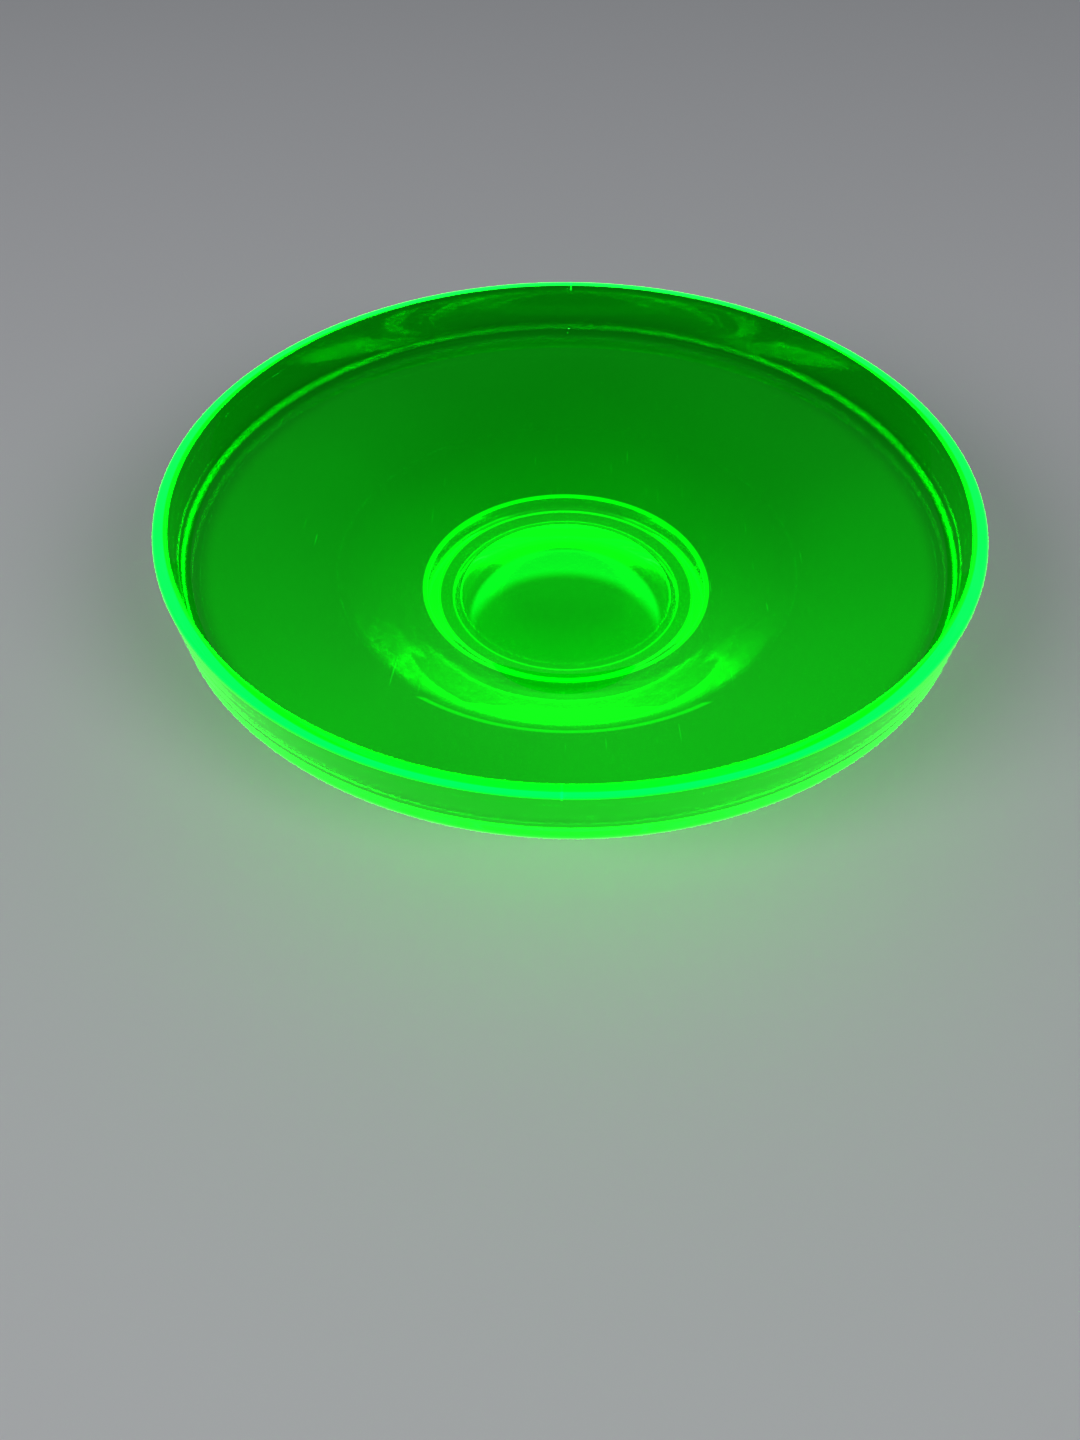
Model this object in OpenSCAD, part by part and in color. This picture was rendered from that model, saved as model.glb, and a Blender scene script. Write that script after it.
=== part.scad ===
// Art-glass dish: a wide shallow bowl with an upright collar, a sloping flank
// and a low foot ring, all turned about the Z axis.
// It rests on z = 0 and opens towards +Z. Sizes are in millimetres.
//
// The glass has one closed cross-section. Each named zone of it, from the lip
// down to the foot ring, is the slice of that section between two cut lines, so
// neighbouring zones always meet face to face.

/* [Lip and collar] */
// Outer diameter across the lip, before its edges are rounded
rim_d = 254; // [200:1:320]
// Height from the resting face to the top of the lip
dish_h = 57; // [47:0.5:80]
// Thickness of the glass at the lip and collar, measured level
collar_t = 4.3; // [3:0.1:7]
// Height of the collar inside the dish, from its bend to the top of the lip
collar_h = 18; // [13:0.5:24]
// How far the collar leans inwards between the lip and its bend
collar_lean = 1.5; // [0:0.1:6]
// Height of the polished band at the top of the collar
lip_h = 4; // [2:0.1:5]
// Rounding of the two edges of the lip
lip_round = 1.1; // [0.3:0.1:1.4]

/* [Heel and flank] */
// Outside radius of the bend where the collar turns into the flank
heel_r = 5; // [3:0.5:10]
// Inside radius of the same bend
bend_r = 6; // [4:0.5:10]
// Thickness of the sloping flank, measured square to it
flank_t = 4.4; // [3:0.1:7]
// Diameter of the level floor, where the flank starts to rise
floor_d = 86; // [70:1:104]
// Radius of the blend between the floor and the flank
floor_blend = 34; // [10:1:60]
// Thickness of the glass at the centre of the floor
floor_t = 5.6; // [4:0.1:9]

/* [Pad under the bowl] */
// Extra thickness of the glass around the foot
pad_t = 2.2; // [0.5:0.1:4]
// Diameter over which the pad keeps its full thickness
pad_d = 112; // [108:1:126]
// Radial width over which the pad thins out to nothing
pad_taper = 20; // [14:1:28]
// Radius of the two soft bends at the ends of that taper
pad_blend = 40; // [5:1:60]

/* [Foot] */
// Outer diameter of the foot where it leaves the bowl
foot_top_d = 97.5; // [93:0.5:104]
// Outer diameter of the face that the dish rests on
foot_base_d = 91; // [82:0.5:97]
// Width of the level face that the dish rests on
foot_face_w = 6; // [3:0.5:9]
// How far the inner wall of the foot leans inwards as it rises
foot_inner_lean = 3; // [0.5:0.5:5]
// Rounding of the two lower edges of the foot
foot_round = 0.8; // [0.2:0.1:1.2]
// Radius of the corner between the foot and the bowl
foot_corner = 1; // [0.3:0.1:2.5]

/* [Recess inside the foot] */
// Height of the recess at its centre, above the resting face
recess_h = 8.3; // [6:0.1:12]
// Diameter of the level crown of the recess
crown_d = 38; // [20:1:46]
// Radius that turns the crown into the sloping side of the recess
crown_blend = 26; // [4:1:30]
// Height at which that sloping side meets the foot ring
recess_edge_h = 3; // [2:0.1:4.5]
// Radius of the corner between the recess and the foot ring
recess_corner = 3; // [0.5:0.1:4]

/* [Hidden] */

// Colours of the thin and the thick glass
GLASS = [0.05, 0.62, 0.10];
THICK_GLASS = [0.20, 0.95, 0.25];
// Sides of each turned surface, and steps along each rounded corner
TURN_SIDES = 180;
CORNER_STEPS = 12;
// A cut reaches this far past the glass on both sides
PAST = 2;

rim_r = rim_d / 2;
floor_z = recess_h + floor_t;
lip_low = dish_h - lip_h;

// Corners of the inside of the bowl, from the centre outwards
floor_mid = [0, floor_z];
floor_edge = [floor_d / 2, floor_z];
bend_in = [rim_r - collar_t - collar_lean, dish_h - collar_h];
lip_in = [rim_r - collar_t, dish_h];

// Slope of the flank, and the direction square to it that points downwards
flank_run = bend_in - floor_edge;
flank_slope = flank_run.y / flank_run.x;
flank_down = [flank_run.y, -flank_run.x] / norm(flank_run);

// Height of the flank's outer face at radius r, before the pad is added
function flank_under(r) =
    let (start = floor_edge + flank_down * flank_t)
    start.y + (r - start.x) * flank_slope;

// Corners of the outside of the bowl, from the lip inwards
lip_out = [rim_r, dish_h];
collar_slope = collar_lean / collar_h;
heel_drop = (dish_h - flank_under(rim_r)) / (1 - collar_slope * flank_slope);
heel_out = [rim_r - heel_drop * collar_slope, dish_h - heel_drop];
pad_end = [pad_d / 2 + pad_taper, flank_under(pad_d / 2 + pad_taper)];
pad_start = [pad_d / 2, flank_under(pad_d / 2) - pad_t];
foot_top = [foot_top_d / 2, flank_under(foot_top_d / 2) - pad_t];

// Corners of the foot and of the recess inside it
foot_out = [foot_base_d / 2, 0];
foot_in = [foot_base_d / 2 - foot_face_w, 0];
recess_edge = [foot_in.x - foot_inner_lean, recess_edge_h];
crown_edge = [crown_d / 2, recess_h];
crown_mid = [0, recess_h];

// Points of an arc of radius r that rounds the corner b between a and c
function rounded(a, b, c, r) =
    let (u = (a - b) / norm(a - b),
         v = (c - b) / norm(c - b),
         half = acos(u * v) / 2,
         start = b + u * r / tan(half),
         stop = b + v * r / tan(half),
         mid = b + (u + v) / norm(u + v) * r / sin(half),
         from = atan2(start.y - mid.y, start.x - mid.x),
         to = atan2(stop.y - mid.y, stop.x - mid.x),
         turn = (to - from + 540) % 360 - 180)
    [for (i = [0 : CORNER_STEPS])
        let (angle = from + turn * i / CORNER_STEPS)
        mid + r * [cos(angle), sin(angle)]];

// Rounded corners whose ends also place the cuts between the zones
bend_arc = rounded(floor_edge, bend_in, lip_in, bend_r);
heel_arc = rounded(lip_out, heel_out, pad_end, heel_r);
pad_arc = rounded(heel_out, pad_end, pad_start, pad_blend);
foot_arc = rounded(pad_start, foot_top, foot_out, foot_corner);
recess_arc = rounded(foot_in, recess_edge, crown_edge, recess_corner);

bend_low = bend_arc[0];
bend_high = bend_arc[CORNER_STEPS];
heel_high = heel_arc[0];
heel_low = heel_arc[CORNER_STEPS];
pad_rim = pad_arc[0];
foot_high = foot_arc[CORNER_STEPS];
recess_low = recess_arc[0];

// The whole cross-section: up the inside from the axis, then down the outside
module section() {
    polygon(concat(
        [floor_mid],
        rounded(floor_mid, floor_edge, bend_in, floor_blend),
        bend_arc,
        rounded(bend_in, lip_in, lip_out, lip_round),
        rounded(lip_in, lip_out, heel_out, lip_round),
        heel_arc,
        pad_arc,
        rounded(pad_end, pad_start, foot_top, pad_blend),
        foot_arc,
        rounded(foot_top, foot_out, foot_in, foot_round),
        rounded(foot_out, foot_in, recess_edge, foot_round),
        recess_arc,
        rounded(recess_edge, crown_edge, crown_mid, crown_blend),
        [crown_mid]));
}

// A cut line from a on the inside to b on the outside, carried on past both
function cut(a, b) =
    let (along = (b - a) / norm(b - a) * PAST)
    [a - along, b + along];

lip_cut = [[bend_in.x - PAST, lip_low], [rim_r + PAST, lip_low]];
collar_cut = cut(bend_high, heel_high);
heel_cut = cut(bend_low, heel_low);
pad_cut = cut(pad_rim - flank_down * flank_t, pad_rim);
floor_top = [recess_low.x, pad_cut[0].y];

// Glass turned from the part of the section inside an outline
module turned(outline) {
    rotate_extrude($fn = TURN_SIDES)
        intersection() {
            section();
            polygon(outline);
        }
}

// Polished band around the top edge
module lip() {
    color(THICK_GLASS)
        turned([lip_cut[0], lip_cut[1], [lip_cut[1].x, dish_h], [lip_cut[0].x, dish_h]]);
}

// Upright wall below the lip
module collar() {
    color(GLASS)
        turned([collar_cut[0], collar_cut[1], lip_cut[1], lip_cut[0]]);
}

// Bend that joins the collar to the flank
module heel() {
    color(THICK_GLASS)
        turned([heel_cut[0], heel_cut[1], heel_out, collar_cut[1], collar_cut[0]]);
}

// Sloping wall from the heel in to the pad
module flank() {
    color(GLASS)
        turned([pad_cut[0], pad_cut[1], heel_cut[1], heel_cut[0]]);
}

// Thicker ring of the bowl, which the foot grows out of
module base_pad() {
    color(GLASS)
        turned([floor_top, recess_low, foot_high, [pad_rim.x, foot_high.y],
                pad_cut[1], pad_cut[0]]);
}

// Centre of the floor, above the recess
module floor_disc() {
    color(GLASS)
        turned([[0, recess_low.y], recess_low, floor_top, [0, floor_top.y]]);
}

// Low ring that the dish stands on
module foot_ring() {
    color(THICK_GLASS)
        turned([recess_low, foot_high, [foot_high.x, 0], [recess_low.x, 0]]);
}

lip();
collar();
heel();
flank();
base_pad();
floor_disc();
foot_ring();
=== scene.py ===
"""Art-glass dish of uranium glass: a wide shallow bowl with an upright collar on a low foot.

The CAD frame gives every zone of the glass as a turned solid. This script reads each
zone's cross-section from the frame, turns it again with fine facets, and gives it the
look of green glass with a painted glow. The zones stay separate pieces with a hairline gap at
each joint, and the joint faces are clear, so that light crosses them as in one piece of glass.

The dish is turned about Z and rests on z = 0. Its glow is painted in as emission, as
if an ultraviolet lamp stood over its front edge, on the -Y side; no such lamp is in the
scene. All lengths are in metres.
"""
import math

import bmesh
import bpy
from mathutils import Matrix, Vector


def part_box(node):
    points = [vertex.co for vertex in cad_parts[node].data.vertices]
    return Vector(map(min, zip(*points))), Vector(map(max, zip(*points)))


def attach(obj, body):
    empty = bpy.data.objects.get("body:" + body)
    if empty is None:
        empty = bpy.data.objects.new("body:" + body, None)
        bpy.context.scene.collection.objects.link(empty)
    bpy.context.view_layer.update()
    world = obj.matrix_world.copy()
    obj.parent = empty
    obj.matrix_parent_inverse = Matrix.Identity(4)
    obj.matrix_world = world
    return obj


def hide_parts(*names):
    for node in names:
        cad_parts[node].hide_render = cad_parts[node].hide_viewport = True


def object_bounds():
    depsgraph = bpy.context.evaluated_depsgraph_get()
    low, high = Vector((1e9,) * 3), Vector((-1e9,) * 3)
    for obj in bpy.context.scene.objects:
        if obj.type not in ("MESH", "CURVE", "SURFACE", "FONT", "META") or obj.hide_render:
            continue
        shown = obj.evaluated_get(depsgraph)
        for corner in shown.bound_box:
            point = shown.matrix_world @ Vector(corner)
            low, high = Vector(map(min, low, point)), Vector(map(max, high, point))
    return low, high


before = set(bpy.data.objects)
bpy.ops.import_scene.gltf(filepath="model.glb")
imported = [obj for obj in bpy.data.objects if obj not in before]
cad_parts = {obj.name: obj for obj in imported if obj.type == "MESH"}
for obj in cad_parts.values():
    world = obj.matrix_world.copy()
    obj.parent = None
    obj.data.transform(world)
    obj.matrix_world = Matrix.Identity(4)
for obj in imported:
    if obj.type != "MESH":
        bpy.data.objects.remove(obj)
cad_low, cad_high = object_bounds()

# Zones of the glass from the top edge down, with the material slot of each
ZONES = {
    "lip": "polished_lip",
    "collar": "uranium_glass",
    "heel": "uranium_glass",
    "flank": "uranium_glass",
    "base_pad": "uranium_glass",
    "floor_disc": "uranium_glass",
    "foot_ring": "foot_glass",
}

SIDES = 360           # facets round each turned piece
FACET = 0.0012        # longest facet along the cross-section
WELD = 0.00002        # section points closer than this are one point
ON_JOINT = 0.000005   # a point this close to a joint line lies on it
JOINT_GAP = 0.000001  # how far each joint face stands back from its neighbour's
SWEEP_RADIUS = 0.1    # radius of the circle that a section is swept along
CREASE = math.radians(30)  # edges sharper than this stay sharp

rim_radius = cad_high.x
rim_height = cad_high.z


# ---------------------------------------------------------------- shapes

def section_of(node):
    """The closed cross-section of a turned CAD node, as (radius, height) points in order."""
    folded = bmesh.new()
    folded.from_mesh(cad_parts[node].data)
    for v in folded.verts:
        v.co = (math.hypot(v.co.x, v.co.y), 0.0, v.co.z)
    bmesh.ops.remove_doubles(folded, verts=folded.verts, dist=WELD)
    folded.verts.index_update()
    points = [Vector((v.co.x, v.co.z)) for v in folded.verts]
    beside = {i: set() for i in range(len(points))}
    for e in folded.edges:
        a, b = e.verts[0].index, e.verts[1].index
        beside[a].add(b)
        beside[b].add(a)
    folded.free()
    ends = [i for i in beside if len(beside[i]) == 1]
    order = [min(ends) if ends else 0]
    while len(order) < len(points):
        order.append(min(i for i in beside[order[-1]] if i not in order))
    chain = [points[i] for i in order]
    if ends:    # a disc's section runs up to the axis at both ends
        chain = [Vector((0, chain[0].y)), *chain, Vector((0, chain[-1].y))]
    return chain


def gap_from(point, a, b):
    """Distance of a point from the straight line between a and b."""
    along = b - a
    t = max(0.0, min(1.0, (point - a).dot(along) / along.length_squared))
    return (a + along * t - point).length


def joints_of(node, sections):
    """The edges of a node's section that another zone's section shares, as index pairs."""
    points = sections[node]
    others = [p for name in sections if name != node for p in sections[name]]
    shared = [any((p - q).length < WELD for q in others) for p in points]
    count = len(points)
    pairs = [(i, (i + 1) % count) for i in range(count)]
    return [(i, j) for i, j in pairs if shared[i] and shared[j]]


def eased_section(node, sections):
    """A section with its joints standing back by JOINT_GAP, and those joints as point pairs."""
    points = sections[node]
    middle = sum(points, Vector((0, 0))) / len(points)
    move = {}
    pairs = joints_of(node, sections)
    for i, j in pairs:
        along = (points[j] - points[i]).normalized()
        inward = Vector((-along.y, along.x))
        if inward.dot(middle - points[i]) < 0:
            inward.negate()
        for k in (i, j):
            move.setdefault(k, inward * JOINT_GAP)
    eased = [p + move.get(k, Vector((0, 0))) for k, p in enumerate(points)]
    return eased, [(eased[i], eased[j]) for i, j in pairs]


def outline_mesh(name, points):
    """A wire mesh of a section, ready for the sweep, with its long runs cut to short facets."""
    fine = []
    for i, a in enumerate(points):
        b = points[(i + 1) % len(points)]
        on_axis = a.x == 0 and b.x == 0
        steps = 1 if on_axis else max(1, math.ceil((b - a).length / FACET))
        fine += [a.lerp(b, k / steps) for k in range(steps)]
    count = len(fine)
    edges = [(i, (i + 1) % count) for i in range(count)]
    edges = [(i, j) for i, j in edges if not (fine[i].x == 0 and fine[j].x == 0)]
    mesh = bpy.data.meshes.new(name)
    mesh.from_pydata([(p.x - SWEEP_RADIUS, -p.y, 0) for p in fine], edges, [])
    return mesh


def turning_tree():
    """Geometry Nodes tree that turns a wire section about the Z axis into glass."""
    tree = bpy.data.node_groups.new("turned_glass", "GeometryNodeTree")
    face = tree.interface
    face.new_socket("Section", in_out="INPUT", socket_type="NodeSocketGeometry")
    for label, kind, value in (("Sides", "NodeSocketInt", SIDES),
                               ("Sweep Radius", "NodeSocketFloat", SWEEP_RADIUS),
                               ("Glass", "NodeSocketMaterial", None)):
        made = face.new_socket(label, in_out="INPUT", socket_type=kind)
        if value is not None:
            made.default_value = value
    face.new_socket("Turned", in_out="OUTPUT", socket_type="NodeSocketGeometry")
    add, link = tree.nodes.new, tree.links.new
    given, made = add("NodeGroupInput"), add("NodeGroupOutput")
    wire = add("GeometryNodeMeshToCurve")
    circle = add("GeometryNodeCurvePrimitiveCircle")
    upright = add("GeometryNodeSetCurveNormal")
    upright.mode = "Z_UP"
    sweep = add("GeometryNodeCurveToMesh")
    weld = add("GeometryNodeMergeByDistance")
    weld.inputs["Distance"].default_value = ON_JOINT
    smooth = add("GeometryNodeSetShadeSmooth")
    real = add("GeometryNodeRealizeInstances")
    paint = add("GeometryNodeSetMaterial")
    link(given.outputs["Section"], wire.inputs["Mesh"])
    link(given.outputs["Sides"], circle.inputs["Resolution"])
    link(given.outputs["Sweep Radius"], circle.inputs["Radius"])
    link(circle.outputs["Curve"], upright.inputs["Curve"])
    link(upright.outputs["Curve"], sweep.inputs["Curve"])
    link(wire.outputs["Curve"], sweep.inputs["Profile Curve"])
    link(sweep.outputs["Mesh"], weld.inputs["Geometry"])
    link(weld.outputs["Geometry"], smooth.inputs["Geometry"])
    link(smooth.outputs["Geometry"], real.inputs["Geometry"])
    link(real.outputs["Geometry"], paint.inputs["Geometry"])
    link(given.outputs["Glass"], paint.inputs["Material"])
    link(paint.outputs["Geometry"], made.inputs["Turned"])
    return tree


def turned_piece(node, tree, sections, glass):
    """One zone of the dish, turned from its section, with its joint faces marked."""
    points, joints = eased_section(node, sections)
    wire = bpy.data.objects.new(node + "_wire", outline_mesh(node + "_wire", points))
    bpy.context.scene.collection.objects.link(wire)
    turn = wire.modifiers.new("turn", "NODES")
    turn.node_group = tree
    for item in tree.interface.items_tree:
        if item.in_out == "INPUT" and item.name == "Glass":
            turn[item.identifier] = glass
    wire.update_tag()
    shape = wire.evaluated_get(bpy.context.evaluated_depsgraph_get())
    mesh = bpy.data.meshes.new_from_object(shape)
    bpy.data.objects.remove(wire)
    mesh.name = node + "_glass"
    shell = bmesh.new()
    shell.from_mesh(mesh)
    bmesh.ops.recalc_face_normals(shell, faces=shell.faces)
    joint = shell.faces.layers.float.new("joint")
    for f in shell.faces:
        corners = [Vector((math.hypot(v.co.x, v.co.y), v.co.z)) for v in f.verts]
        f[joint] = any(all(gap_from(p, a, b) < ON_JOINT for p in corners) for a, b in joints)
        f.smooth = True
    for e in shell.edges:
        e.smooth = (e.calc_face_angle(0) < CREASE
                    and e.link_faces[0][joint] == e.link_faces[-1][joint])
    shell.to_mesh(mesh)
    shell.free()
    piece = bpy.data.objects.new(node + "_glass", mesh)
    bpy.context.scene.collection.objects.link(piece)
    return piece


# ---------------------------------------------------------------- finishes, with painted glow

NEAR_CORE = 0.6    # share of a soft band that has its full strength


class Finish:
    """A material's node tree, with short ways to add nodes to it."""

    def __init__(self, name):
        self.material = bpy.data.materials.new(name)
        self.material.use_nodes = True
        self.tree = self.material.node_tree
        self.tree.nodes.clear()
        self.out = self.tree.nodes.new("ShaderNodeOutputMaterial")

    def node(self, kind, **values):
        """A new node with its options, or its input sockets, set by name."""
        made = self.tree.nodes.new(kind)
        for name, value in values.items():
            if hasattr(made, name):
                setattr(made, name, value)
            else:
                made.inputs[name].default_value = value
        return made

    def join(self, source, target):
        self.tree.links.new(source, target)

    def give(self, value, socket):
        """Sets a socket to a plain number, or joins another socket to it."""
        if isinstance(value, (int, float)):
            socket.default_value = value
        else:
            self.join(value, socket)

    def maths(self, operation, *values):
        """A Math node on sockets or plain numbers."""
        made = self.node("ShaderNodeMath", operation=operation)
        for socket, value in zip(made.inputs, values):
            self.give(value, socket)
        return made.outputs[0]

    def times(self, *values):
        """The product of two or more sockets or plain numbers."""
        product = values[0]
        for value in values[1:]:
            product = self.maths("MULTIPLY", product, value)
        return product

    def plus(self, *values):
        """The sum of two or more sockets or plain numbers."""
        amount = values[0]
        for value in values[1:]:
            amount = self.maths("ADD", amount, value)
        return amount

    def minus(self, value, less):
        return self.maths("SUBTRACT", value, less)

    def spread(self, value, low, high, to_low, to_high):
        """value from low to high, turned into to_low to to_high with soft ends."""
        made = self.node("ShaderNodeMapRange", interpolation_type="SMOOTHSTEP")
        self.join(value, made.inputs["Value"])
        for name, number in (("From Min", low), ("From Max", high),
                             ("To Min", to_low), ("To Max", to_high)):
            self.give(number, made.inputs[name])
        return made.outputs["Result"]

    def near(self, value, centre, half):
        """1 where value is at centre, falling softly to 0 at half a width from it."""
        off = self.maths("ABSOLUTE", self.minus(value, centre))
        return self.spread(off, half * NEAR_CORE, half, 1.0, 0.0)

    def reach(self, x, y, ahead):
        """Distance from an upright line that stands ahead of the dish's axis."""
        y = self.plus(y, ahead)
        return self.maths("SQRT", self.plus(self.times(x, x), self.times(y, y)))


CARD_COLOUR = (0.72, 0.72, 0.74, 1)
CARD_ROUGHNESS = 0.9

GLASS_IOR = 1.52
TINT = (0.002, 0.13, 0.004, 1)          # colour of what is seen through the glass
MIRROR_TINT = (0.05, 1, 0.1, 1)         # colour of what its face mirrors
GLOW = (0, 1, 0.01, 1)                  # colour of the painted glow inside the glass

# Painted glow of the surface and of the depth, for the bowl and, painted dimmer, for the foot
SKIN_GLOW, BODY_GLOW = 0.08, 150
FOOT_SKIN_GLOW, FOOT_BODY_GLOW = 0.05, 30
PAINTED_GLOW_BACK, PAINTED_GLOW_FRONT = 0.55, 1.25      # painted glow on the far side and, stronger, on the front side where the lamp would stand
UNEVEN_SCALE = 9.0                      # slow changes of the glow: cells per metre
UNEVEN_NOISE = (0.3, 0.7)               # noise between which they run
UNEVEN_RANGE = (0.92, 1.08)             # and how far they take the glow down and up

# The inside of the bowl, from which depth in the glass is measured
FLOOR_RADIUS = 0.043                    # where the flank starts to rise
FLOOR_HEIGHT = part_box("floor_disc")[1].z
FLANK_SLOPE = 0.321
LIT_DEPTH = 0.005                       # depth at which the painted glow has mostly faded
DEEP_GLOW = 0.12                        # share of the glow that is left in the depth
UNDERSIDE = (0.002, 0.003)              # depths between which the underside begins

# Painted shade: the collar glows less where the lamp would stand behind it
COLLAR_SHADE = 0.50                     # share of the glow that it keeps there
COLLAR_FOOT = (0.0365, 0.0405)          # heights between which the collar begins
COLLAR_TURN = (-0.11, -0.04)            # y between which it turns away from the lamp

# Painted shade: the heel is deep glass, and the glow in its depth is painted weaker
HEEL_SHADE = 0.45                       # share of the glow in the depth that it keeps
HEEL_START = (0.114, 0.120)             # radii between which the heel begins
HEEL_TOP = (0.047, 0.041)               # heights between which it ends

# Painted highlight: the top edge glows outwards from these radii, at the front and elsewhere
LIP_GLOW = 1.1
LIP_GLOW_FRONT, LIP_GLOW_BACK = 0.1254, 0.1234
LIP_GLOW_TURN = (-0.118, -0.070)        # y between which one gives way to the other
LIP_GLOW_SOFT = 0.0004                  # width of the soft inner edge of that glow
LIP_GLOW_DROP = (0.0016, 0.0004)        # depths below the rim between which it begins

# Painted bright rings, standing in for light that gathers at the edges of the underside:
# strength, radius and its half width, height and its half width
PAINTED_EDGE_RINGS = (
    (2.6, 0.0492, 0.0013, 0.0092, 0.0007),
    (0.25, 0.0424, 0.0036, 0.0000, 0.0007),
    (1.8, 0.0452, 0.0006, 0.0002, 0.0007),
    (1.2, 0.0394, 0.0005, 0.0002, 0.0006),
)
# Painted bright bands of light in the thick glass in front of the foot: strength, radius, half
# width
PAINTED_FRONT_BANDS = (
    (0.30, 0.0685, 0.0115),
    (0.90, 0.0700, 0.0040),
    (1.20, 0.0788, 0.0009),
)
FRONT_CHORD = 0.0655                    # how far in front of the axis those bands begin
CHORD_SOFT = 0.001                      # width of their soft edge there
# Painted bright crescent of light over the recess, between two discs. For each: the centre's
# distance in front of the axis, and the radii where its soft edge starts and ends
CRESCENT_OUTER = (0.0130, 0.0310, 0.0330)
CRESCENT_INNER = (0.0290, 0.0310, 0.0370)
CRESCENT_GLOW = 1.6
CRESCENT_TEAL, LIP_TEAL = 0.10, 0.07    # blue that the brightest light takes on

SCRATCH_SCALE = (1400, 55, 55)          # scratches are thin across and some 10 mm long
SCRATCH_TURNS = (0.5, 2.2)              # the two ways that they lie, in radians
SCRATCH_RARE = (0.74, 0.79)             # noise between which a scratch shows
# scratches are real wear in the roughness; their glow is a painted glint
SCRATCH_GLOW = 0.25
WEAR_RADIUS, WEAR_WIDTH = 0.068, 0.030  # ring of the flank that has most of them
WEAR_SCALE = 28.0                       # loose patches of scratches: cells per metre
WEAR_PATCH = (0.50, 0.64)               # noise between which a patch begins
SPECK_SCALE, SPECK_SIZE = 55, 0.00035   # grains of dust: cells per metre, and radius of a grain
SPECK_BARE = 0.5                        # share of the cells that have no grain
# the dust grains are real; their glow is a painted glint
SPECK_GLOW = 0.9
MARKS_DEPTH = (0.0003, 0.0008)          # marks and their painted glints fade out between these depths
MARKS_ROUGHNESS = 0.3
MOULD_SEAM_GLINT = 0.0004                     # half width of the painted bright tick on the lip's mould seam
SEAM_GLINT_DROP = (0.002, 0.001)              # depths below the rim between which the painted tick begins


def fine_scratches(f, place, radius):
    """Short hairline scratches in loose patches on the flank, as an amount from 0 to 1."""
    strokes = []
    for turn in SCRATCH_TURNS:
        laid = f.node("ShaderNodeMapping", Rotation=(0, 0, turn), Scale=SCRATCH_SCALE)
        f.join(place, laid.inputs["Vector"])
        grain = f.node("ShaderNodeTexNoise", Scale=1.0, Detail=1.0)
        f.join(laid.outputs[0], grain.inputs["Vector"])
        strokes.append(f.spread(grain.outputs["Fac"], *SCRATCH_RARE, 0.0, 1.0))
    patch = f.node("ShaderNodeTexNoise", Scale=WEAR_SCALE, Detail=1.0)
    f.join(place, patch.inputs["Vector"])
    worn = f.times(f.spread(patch.outputs["Fac"], *WEAR_PATCH, 0.0, 1.0),
                   f.near(radius, WEAR_RADIUS, WEAR_WIDTH))
    return f.times(f.maths("MAXIMUM", *strokes), worn)


def dust_specks(f, place):
    """Sparse grains of dust on the glass, as an amount from 0 to 1."""
    cells = f.node("ShaderNodeTexVoronoi", Scale=SPECK_SCALE)
    f.join(place, cells.inputs["Vector"])
    chosen = f.node("ShaderNodeSeparateColor")
    f.join(cells.outputs["Color"], chosen.inputs[0])
    size = SPECK_SIZE * SPECK_SCALE
    grain = f.spread(cells.outputs["Distance"], size * 0.5, size, 1.0, 0.0)
    return f.times(grain, f.maths("GREATER_THAN", chosen.outputs["Red"], SPECK_BARE))


def surface_marks_and_glints(f, place, radius, depth):
    """Scratches and dust on the inside of the bowl, with a painted glint on each."""
    marks_and_glints = f.plus(f.times(fine_scratches(f, place, radius), SCRATCH_GLOW),
                   f.times(dust_specks(f, place), SPECK_GLOW))
    return f.times(marks_and_glints, f.spread(depth, *MARKS_DEPTH, 1.0, 0.0))


def painted_lamp_glow(f, place, y, z):
    """Painted light: how strongly the glow is painted on each part of the glass, as if by a
    lamp on the front side.
    """
    # Painted light: the glow is stronger towards the front and weaker towards the back
    lamp = f.spread(y, rim_radius, -rim_radius, PAINTED_GLOW_BACK, PAINTED_GLOW_FRONT)
    # Painted shade on the collar where it turns away from the front
    collar = f.spread(z, *COLLAR_FOOT, 0.0, 1.0)
    turned_away = f.spread(y, *COLLAR_TURN, 0.0, 1.0 - COLLAR_SHADE)
    lamp = f.times(lamp, f.minus(1.0, f.times(collar, turned_away)))
    slow = f.node("ShaderNodeTexNoise", Scale=UNEVEN_SCALE, Detail=2.0)
    f.join(place, slow.inputs["Vector"])
    return f.times(lamp, f.spread(slow.outputs["Fac"], *UNEVEN_NOISE, *UNEVEN_RANGE))


def painted_edge_rings(f, radius, z):
    """The painted bright rings of light at the edges of the underside."""
    return f.plus(*(f.times(f.near(radius, r, half), f.near(z, level, tall), power)
                    for power, r, half, level, tall in PAINTED_EDGE_RINGS))


def painted_front_bands(f, radius, y, under):
    """The painted bright bands of light in front of the foot."""
    bands = f.plus(*(f.times(f.near(radius, r, half), power)
                     for power, r, half in PAINTED_FRONT_BANDS))
    ahead = f.times(f.spread(y, -FRONT_CHORD - CHORD_SOFT, -FRONT_CHORD, 1.0, 0.0), under)
    return f.times(bands, ahead)


def painted_recess_crescent(f, x, y, under):
    """The painted bright crescent of light over the recess."""
    ahead, start, end = CRESCENT_OUTER
    outer = f.spread(f.reach(x, y, ahead), start, end, 1.0, 0.0)
    ahead, start, end = CRESCENT_INNER
    inner = f.spread(f.reach(x, y, ahead), start, end, 0.0, 1.0)
    return f.times(outer, inner, under)


def below_rim(f, z, drop, amount):
    """amount at the rim, falling to 0 between two depths below it."""
    return f.spread(z, rim_height - drop[0], rim_height - drop[1], 0.0, amount)


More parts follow.
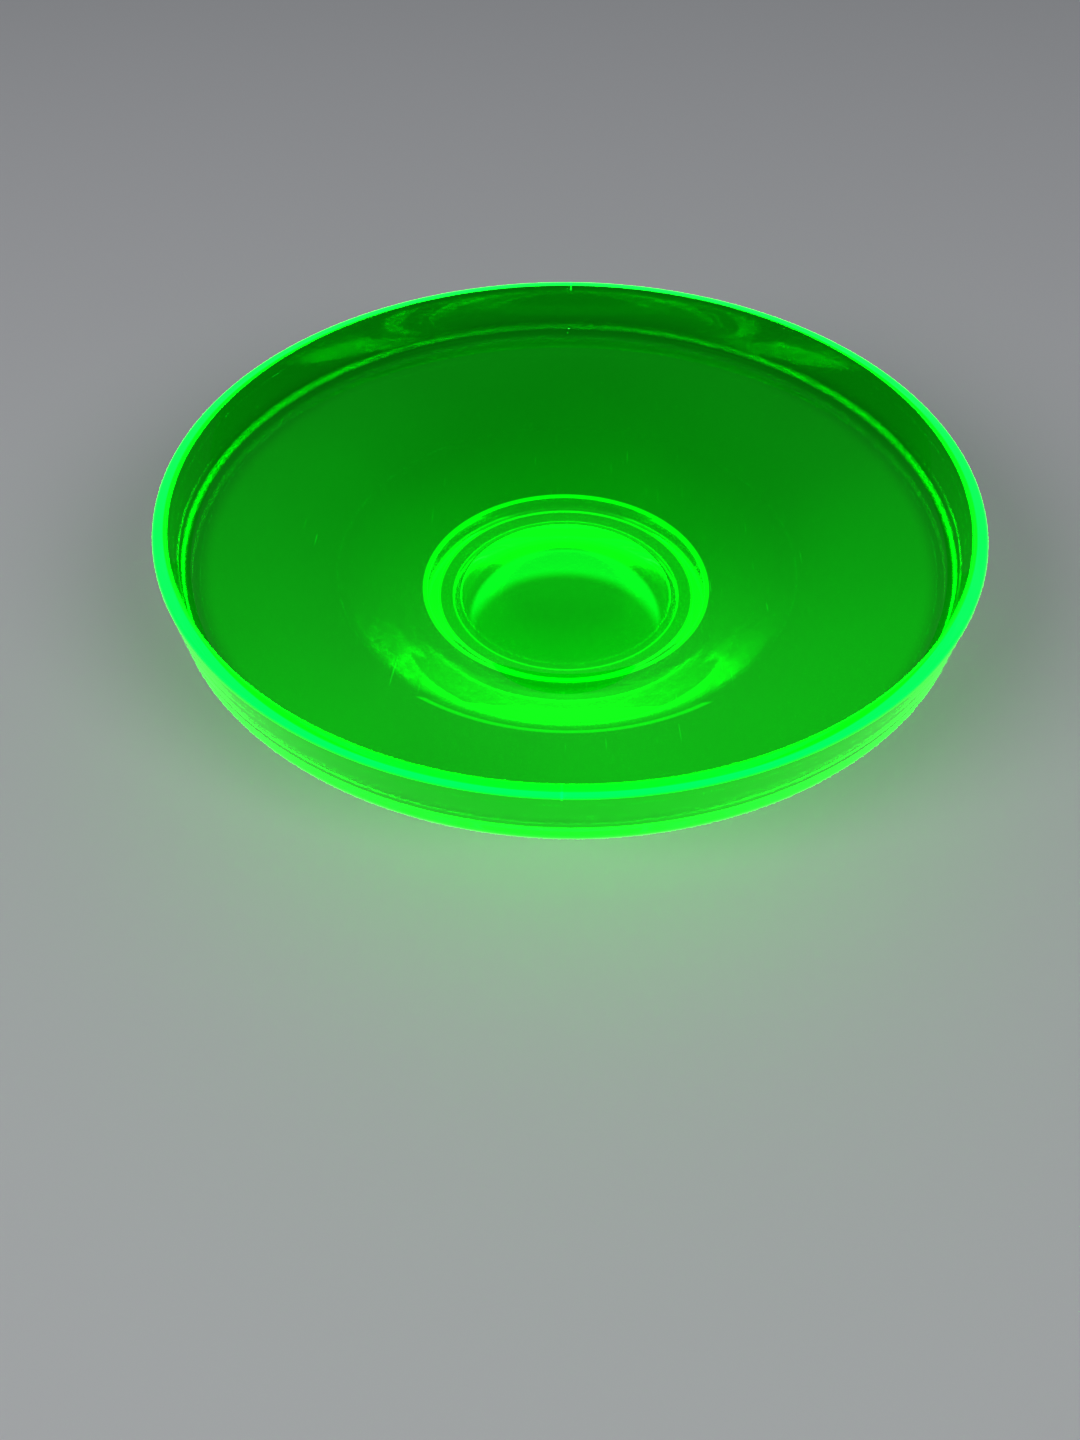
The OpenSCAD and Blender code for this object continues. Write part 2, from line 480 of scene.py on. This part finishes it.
def painted_lip_light(f, radius, y, z, amount):
    """The painted extra glow of the top edge, a painted highlight."""
    edge = f.spread(y, *LIP_GLOW_TURN, LIP_GLOW_FRONT, LIP_GLOW_BACK)
    return f.times(below_rim(f, z, LIP_GLOW_DROP, amount),
                   f.spread(radius, edge, f.plus(edge, LIP_GLOW_SOFT), 0.0, 1.0))


def depth_light(f, radius, z, depth, amount, lamp):
    """The painted glow in the depth of the glass, which dies away from the lit inside, with
    painted shade in the heel.
    """
    fade = f.maths("POWER", math.e, f.maths("DIVIDE", depth, -LIT_DEPTH))
    fade = f.plus(f.times(fade, 1 - DEEP_GLOW), DEEP_GLOW)
    heel = f.times(f.spread(radius, *HEEL_START, 0.0, 1.0 - HEEL_SHADE),
                   f.spread(z, *HEEL_TOP, 0.0, 1.0))
    return f.times(fade, f.minus(1.0, heel), amount, lamp)


def glowing_glass(name, skin, body, lip=0.0):
    """Clear green glass with a painted glow, as if lit by an ultraviolet lamp above its front
    edge.

    skin is the painted glow of its surface and body that of its depth. lip is the extra
    painted glow, a painted highlight, of the polished top edge.
    """
    f = Finish(name)
    axes = f.node("ShaderNodeSeparateXYZ")
    place = f.node("ShaderNodeTexCoord").outputs["Object"]
    f.join(place, axes.inputs[0])
    x, y, z = (axes.outputs[axis] for axis in "XYZ")
    radius = f.reach(x, y, 0.0)
    rise = f.times(f.maths("MAXIMUM", f.minus(radius, FLOOR_RADIUS), 0.0), FLANK_SLOPE)
    depth = f.maths("MAXIMUM", f.minus(f.plus(rise, FLOOR_HEIGHT), z), 0.0)
    under = f.spread(depth, *UNDERSIDE, 0.0, 1.0)

    # Painted light and shade: the strength of the glow over the glass
    lamp = painted_lamp_glow(f, place, y, z)
    # Painted highlights: bright rings, bands and a crescent of light on the underside
    crescent = painted_recess_crescent(f, x, y, under)
    painted_gathered_light = f.plus(painted_edge_rings(f, radius, z), painted_front_bands(f, radius, y, under),
                      f.times(crescent, CRESCENT_GLOW))
    # Painted highlight along the top edge
    top = painted_lip_light(f, radius, y, z, lip)
    # Real scratches and dust that roughen the glass, with painted glints in the glow
    marks_and_glints = surface_marks_and_glints(f, place, radius, depth)
    # Painted glint: a bright tick along the lip's mould seam
    seam_glint = f.times(f.near(x, 0.0, MOULD_SEAM_GLINT), below_rim(f, z, SEAM_GLINT_DROP, 1.0))

    glass = f.node("ShaderNodeBsdfPrincipled")
    glass.inputs["Base Color"].default_value = TINT
    glass.inputs["Specular Tint"].default_value = MIRROR_TINT
    glass.inputs["IOR"].default_value = GLASS_IOR
    glass.inputs["Transmission Weight"].default_value = 1
    f.join(f.times(marks_and_glints, MARKS_ROUGHNESS), glass.inputs["Roughness"])
    hue = f.node("ShaderNodeCombineColor", Green=1)
    teal = f.plus(f.times(crescent, CRESCENT_TEAL), f.times(top, LIP_TEAL))
    f.join(f.plus(teal, GLOW[2]), hue.inputs["Blue"])
    f.join(hue.outputs[0], glass.inputs["Emission Color"])
    # All painted light goes into the emission: glow by lamp side, underside highlights, lip
    # highlight, glints
    f.join(f.plus(f.times(lamp, skin), painted_gathered_light, top, marks_and_glints, seam_glint),
           glass.inputs["Emission Strength"])
    joint = f.node("ShaderNodeAttribute", attribute_name="joint")
    f.join(f.minus(1.0, joint.outputs["Fac"]), glass.inputs["Alpha"])
    f.join(glass.outputs[0], f.out.inputs["Surface"])

    # Painted glow in the depth of the glass
    within = f.node("ShaderNodeEmission", Color=GLOW)
    f.join(depth_light(f, radius, z, depth, body, lamp), within.inputs["Strength"])
    f.join(within.outputs[0], f.out.inputs["Volume"])
    return f.material


def pale_floor():
    """Matt off-white card for the dish to stand on."""
    f = Finish("pale_floor")
    card = f.node("ShaderNodeBsdfPrincipled")
    card.inputs["Base Color"].default_value = CARD_COLOUR
    card.inputs["Roughness"].default_value = CARD_ROUGHNESS
    f.join(card.outputs[0], f.out.inputs["Surface"])
    return f.material


# ---------------------------------------------------------------- the dish

tree = turning_tree()
sections = {node: section_of(node) for node in ZONES}
# Copies of the glass with painted glow: the lip's with a painted highlight, the foot's painted
# dimmer
finishes = {
    "uranium_glass": glowing_glass("uranium_glass", SKIN_GLOW, BODY_GLOW),
    "polished_lip": glowing_glass("polished_lip", SKIN_GLOW, BODY_GLOW, lip=LIP_GLOW),
    "foot_glass": glowing_glass("foot_glass", FOOT_SKIN_GLOW, FOOT_BODY_GLOW),
}
for node, slot in ZONES.items():
    piece = turned_piece(node, tree, sections, finishes[slot])
    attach(piece, "root")
    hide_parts(node)


# ---------------------------------------------------------------- floor, light and camera

FLOOR_HALF = 3.0
FLOOR_DROP = 0.0002                # the floor lies this far below the foot
WORLD_COLOUR = (0.9, 0.95, 1.0, 1)
WORLD_STRENGTH = 0.16

# Round lamps: name, place, width, power, and whether the glass mirrors it
LAMPS = (
    ("left_light", (-1.3, -1.1, 1.1), 1.0, 12, False),
    ("right_light", (1.3, -1.3, 1.3), 1.0, 12, False),
    ("small_lamp", (0.004, -0.30, 0.30), 0.007, 0.015, True),
)

CAMERA_TURN = (48.69, -1.93, -0.41)  # degrees: down, to the side, and about its own line
CAMERA_BACK, CAMERA_UP = 0.27353, 0.19377  # in front of the axis, and above the rim
CAMERA_LENS, CAMERA_SENSOR = 26.0, 36      # millimetres
CAMERA_NEAR = 0.001                        # the nearest that it sees

GLASS_BOUNCES, MIRROR_BOUNCES, CLEAR_BOUNCES = 32, 16, 64


def floor(half, height):
    """A square floor, level at the given height."""
    corners = [(-half, -half, height), (half, -half, height),
               (half, half, height), (-half, half, height)]
    mesh = bpy.data.meshes.new("floor")
    mesh.from_pydata(corners, [], [(0, 1, 2, 3)])
    mesh.materials.append(pale_floor())
    made = bpy.data.objects.new("floor", mesh)
    bpy.context.scene.collection.objects.link(made)


def soft_light(name, place, size, power, mirrored):
    """A round lamp that points at the dish."""
    lamp = bpy.data.lights.new(name, "AREA")
    lamp.shape = "DISK"
    lamp.size = size
    lamp.energy = power
    made = bpy.data.objects.new(name, lamp)
    made.location = place
    made.visible_glossy = mirrored
    aim = Vector((0, 0, 0)) - Vector(place)
    made.rotation_euler = aim.to_track_quat("-Z", "Y").to_euler()
    bpy.context.scene.collection.objects.link(made)


def studio_camera():
    """The camera, above the front of the dish and looking down into it."""
    pitch, yaw, roll = (math.radians(a) for a in CAMERA_TURN)
    ahead = Vector((math.sin(yaw) * math.cos(pitch),
                    math.cos(yaw) * math.cos(pitch), -math.sin(pitch)))
    level = Vector((math.cos(yaw), -math.sin(yaw), 0))
    above = level.cross(ahead)
    across = level * math.cos(roll) + above * math.sin(roll)
    upward = above * math.cos(roll) - level * math.sin(roll)
    lens = bpy.data.cameras.new("camera")
    lens.sensor_width = CAMERA_SENSOR
    lens.lens = CAMERA_LENS
    lens.clip_start = CAMERA_NEAR
    made = bpy.data.objects.new("camera", lens)
    made.matrix_world = Matrix((across, upward, -ahead)).transposed().to_4x4()
    made.location = (0, -CAMERA_BACK, rim_height + CAMERA_UP)
    bpy.context.scene.collection.objects.link(made)
    bpy.context.scene.camera = made


def studio_world():
    """An even, faint, cool light from all round."""
    world = bpy.data.worlds.new("studio")
    world.use_nodes = True
    backdrop = world.node_tree.nodes["Background"]
    backdrop.inputs["Color"].default_value = WORLD_COLOUR
    backdrop.inputs["Strength"].default_value = WORLD_STRENGTH
    bpy.context.scene.world = world


def clear_glass_bounces():
    """Enough bounces for light that crosses many glass faces, and plain colours."""
    scene = bpy.context.scene
    scene.view_settings.view_transform = "Standard"
    scene.cycles.max_bounces = GLASS_BOUNCES
    scene.cycles.transmission_bounces = GLASS_BOUNCES
    scene.cycles.glossy_bounces = MIRROR_BOUNCES
    scene.cycles.transparent_max_bounces = CLEAR_BOUNCES


floor(FLOOR_HALF, cad_low.z - FLOOR_DROP)
for lamp in LAMPS:
    soft_light(*lamp)
studio_camera()
studio_world()
clear_glass_bounces()
